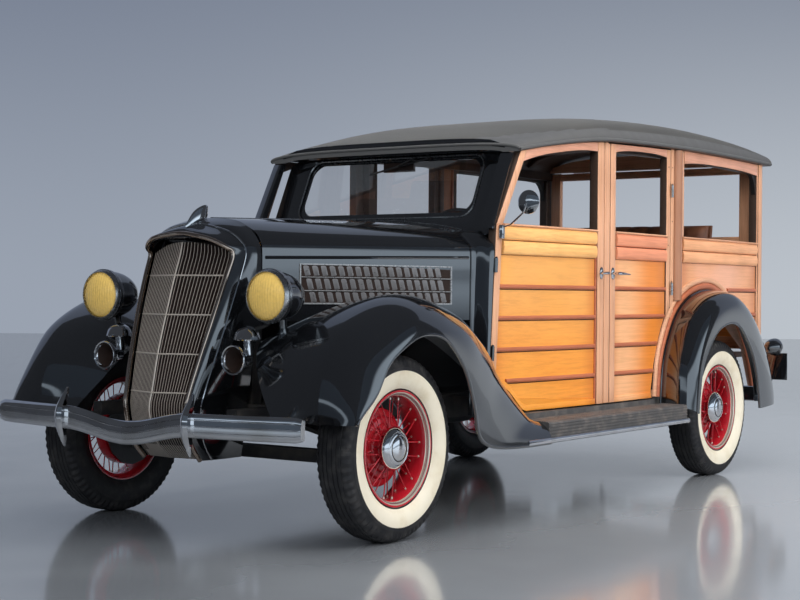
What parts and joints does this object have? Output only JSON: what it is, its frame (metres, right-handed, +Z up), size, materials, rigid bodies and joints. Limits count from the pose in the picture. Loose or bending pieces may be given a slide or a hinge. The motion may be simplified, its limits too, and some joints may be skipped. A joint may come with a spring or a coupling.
{
  "type": "wood-bodied station wagon",
  "caption": "Wood-bodied station wagon with black fenders and hood, red wire wheels, bench seats, opening doors and hood halves, drop tailgate with spare wheel, and liftgate.",
  "frame": {"origin": "centre of the bounding box on the ground under the tyres", "axes": "+Z up, the car faces -Y, +X is its left side"},
  "size_m": [1.765, 4.6398, 1.8279],
  "materials": {
    "black_paint": "deep gloss black enamel",
    "maple_frame": "varnished pink-tan maple framing round amber panels",
    "floor_wood": "varnished floor boards",
    "roof_covering": "charcoal coated fabric",
    "red_wheel_paint": "gloss red enamel",
    "tyre_rubber": "black rubber with pale side wall",
    "chrome": "polished",
    "grille_steel": "satin bright bars",
    "chassis_black": "satin black",
    "cast_parts": "plain cast",
    "brown_leather": "dark brown, pleated",
    "clear_glass": "clear",
    "step_rubber": "ribbed black",
    "wheel_rim_black": "hard black rim"
  },
  "bodies": {
    "root": {"body_side_left": "maple_frame", "body_side_right": "maple_frame", "chassis_frame": "chassis_black", "cowl": "black_paint", "engine_block": "cast_parts", "exhaust": "chassis_black", "floor": "floor_wood", "front_axle": "chassis_black", "front_bumper": "chrome", "front_fender_left": "black_paint", "front_fender_right": "black_paint", "front_seat": "brown_leather", "fuel_tank": "chassis_black", "grille_bars": "grille_steel", "grille_shell": "black_paint", "lamp_and_horn_left": "black_paint", "lamp_and_horn_right": "black_paint", "middle_seat": "brown_leather", "radiator": "chassis_black", "rear_axle": "chassis_black", "rear_bumper": "chrome", "rear_fender_left": "black_paint", "rear_fender_right": "black_paint", "rear_seat": "brown_leather", "roof": "roof_covering", "running_board_left": "step_rubber", "running_board_right": "step_rubber", "tail_lamp": "black_paint", "windshield_glass": "clear_glass"},
    "knuckle_left": {"knuckle_left": "cast_parts"},
    "knuckle_right": {"knuckle_right": "cast_parts"},
    "wheel_front_left": {"wheel_front_left": "red_wheel_paint", "tyre_front_left": "tyre_rubber"},
    "wheel_front_right": {"wheel_front_right": "red_wheel_paint", "tyre_front_right": "tyre_rubber"},
    "wheel_rear_left": {"wheel_rear_left": "red_wheel_paint", "tyre_rear_left": "tyre_rubber"},
    "wheel_rear_right": {"wheel_rear_right": "red_wheel_paint", "tyre_rear_right": "tyre_rubber"},
    "front_door_left": {"front_door_left": "maple_frame", "door_mirror": "chrome"},
    "front_door_right": {"front_door_right": "maple_frame"},
    "rear_door_left": {"rear_door_left": "maple_frame"},
    "rear_door_right": {"rear_door_right": "maple_frame"},
    "hood_left": {"hood_left": "black_paint"},
    "hood_right": {"hood_right": "black_paint"},
    "steering_wheel": {"steering_wheel": "wheel_rim_black"},
    "tailgate": {"tailgate": "maple_frame", "spare_wheel": "red_wheel_paint", "spare_tyre": "tyre_rubber"},
    "liftgate": {"liftgate": "maple_frame"}
  },
  "joints": [
    {"name": "steer_left", "type": "hinge", "parent": "root", "child": "knuckle_left", "pos_m": [0.572, -1.621, 0.35], "axis": [0, 0, 1], "range_deg": [-30, 30]},
    {"name": "front_wheel_left", "type": "hinge", "parent": "knuckle_left", "child": "wheel_front_left", "pos_m": [0.705, -1.621, 0.35], "axis": [1, 0, 0], "continuous": true},
    {"name": "rear_wheel_left", "type": "hinge", "parent": "root", "child": "wheel_rear_left", "pos_m": [0.74, 1.224, 0.35], "axis": [1, 0, 0], "continuous": true},
    {"name": "front_door_swing_left", "type": "hinge", "parent": "root", "child": "front_door_left", "pos_m": [0.6703, -0.821, 0.426], "axis": [0, -0.0629, -0.998], "range_deg": [0, 65]},
    {"name": "rear_door_swing_left", "type": "hinge", "parent": "root", "child": "rear_door_left", "pos_m": [0.72384, 0.812, 0.426], "axis": [0, 0, 1], "range_deg": [0, 65]},
    {"name": "hood_lift_left", "type": "hinge", "parent": "root", "child": "hood_left", "pos_m": [0, -0.861, 1.25], "axis": [0, -0.9996, -0.0293], "range_deg": [0, 60]},
    {"name": "steer_right", "type": "hinge", "parent": "root", "child": "knuckle_right", "pos_m": [-0.572, -1.621, 0.35], "axis": [0, 0, 1], "range_deg": [-30, 30]},
    {"name": "front_wheel_right", "type": "hinge", "parent": "knuckle_right", "child": "wheel_front_right", "pos_m": [-0.705, -1.621, 0.35], "axis": [1, 0, 0], "continuous": true},
    {"name": "rear_wheel_right", "type": "hinge", "parent": "root", "child": "wheel_rear_right", "pos_m": [-0.74, 1.224, 0.35], "axis": [1, 0, 0], "continuous": true},
    {"name": "front_door_swing_right", "type": "hinge", "parent": "root", "child": "front_door_right", "pos_m": [-0.6703, -0.821, 0.426], "axis": [0, 0.0629, 0.998], "range_deg": [0, 65]},
    {"name": "rear_door_swing_right", "type": "hinge", "parent": "root", "child": "rear_door_right", "pos_m": [-0.72384, 0.812, 0.426], "axis": [0, 0, -1], "range_deg": [0, 65]},
    {"name": "hood_lift_right", "type": "hinge", "parent": "root", "child": "hood_right", "pos_m": [0, -0.861, 1.25], "axis": [0, 0.9996, 0.0293], "range_deg": [0, 60]},
    {"name": "steering_wheel_turn", "type": "hinge", "parent": "root", "child": "steering_wheel", "pos_m": [0.33, -0.421, 1.13], "axis": [0, 0.788, 0.6157], "range_deg": [-390, 390]},
    {"name": "tailgate_drop", "type": "hinge", "parent": "root", "child": "tailgate", "pos_m": [0, 2.041, 0.625], "axis": [-1, 0, 0], "range_deg": [0, 90]},
    {"name": "liftgate_lift", "type": "hinge", "parent": "root", "child": "liftgate", "pos_m": [0, 2.041, 1.66204], "axis": [1, 0, 0], "range_deg": [0, 80]}
  ],
  "couplings": [
    {"joint": "steer_right", "follows": "steer_left", "ratio": 1},
    {"joint": "steering_wheel_turn", "follows": "steer_left", "ratio": 13}
  ]
}
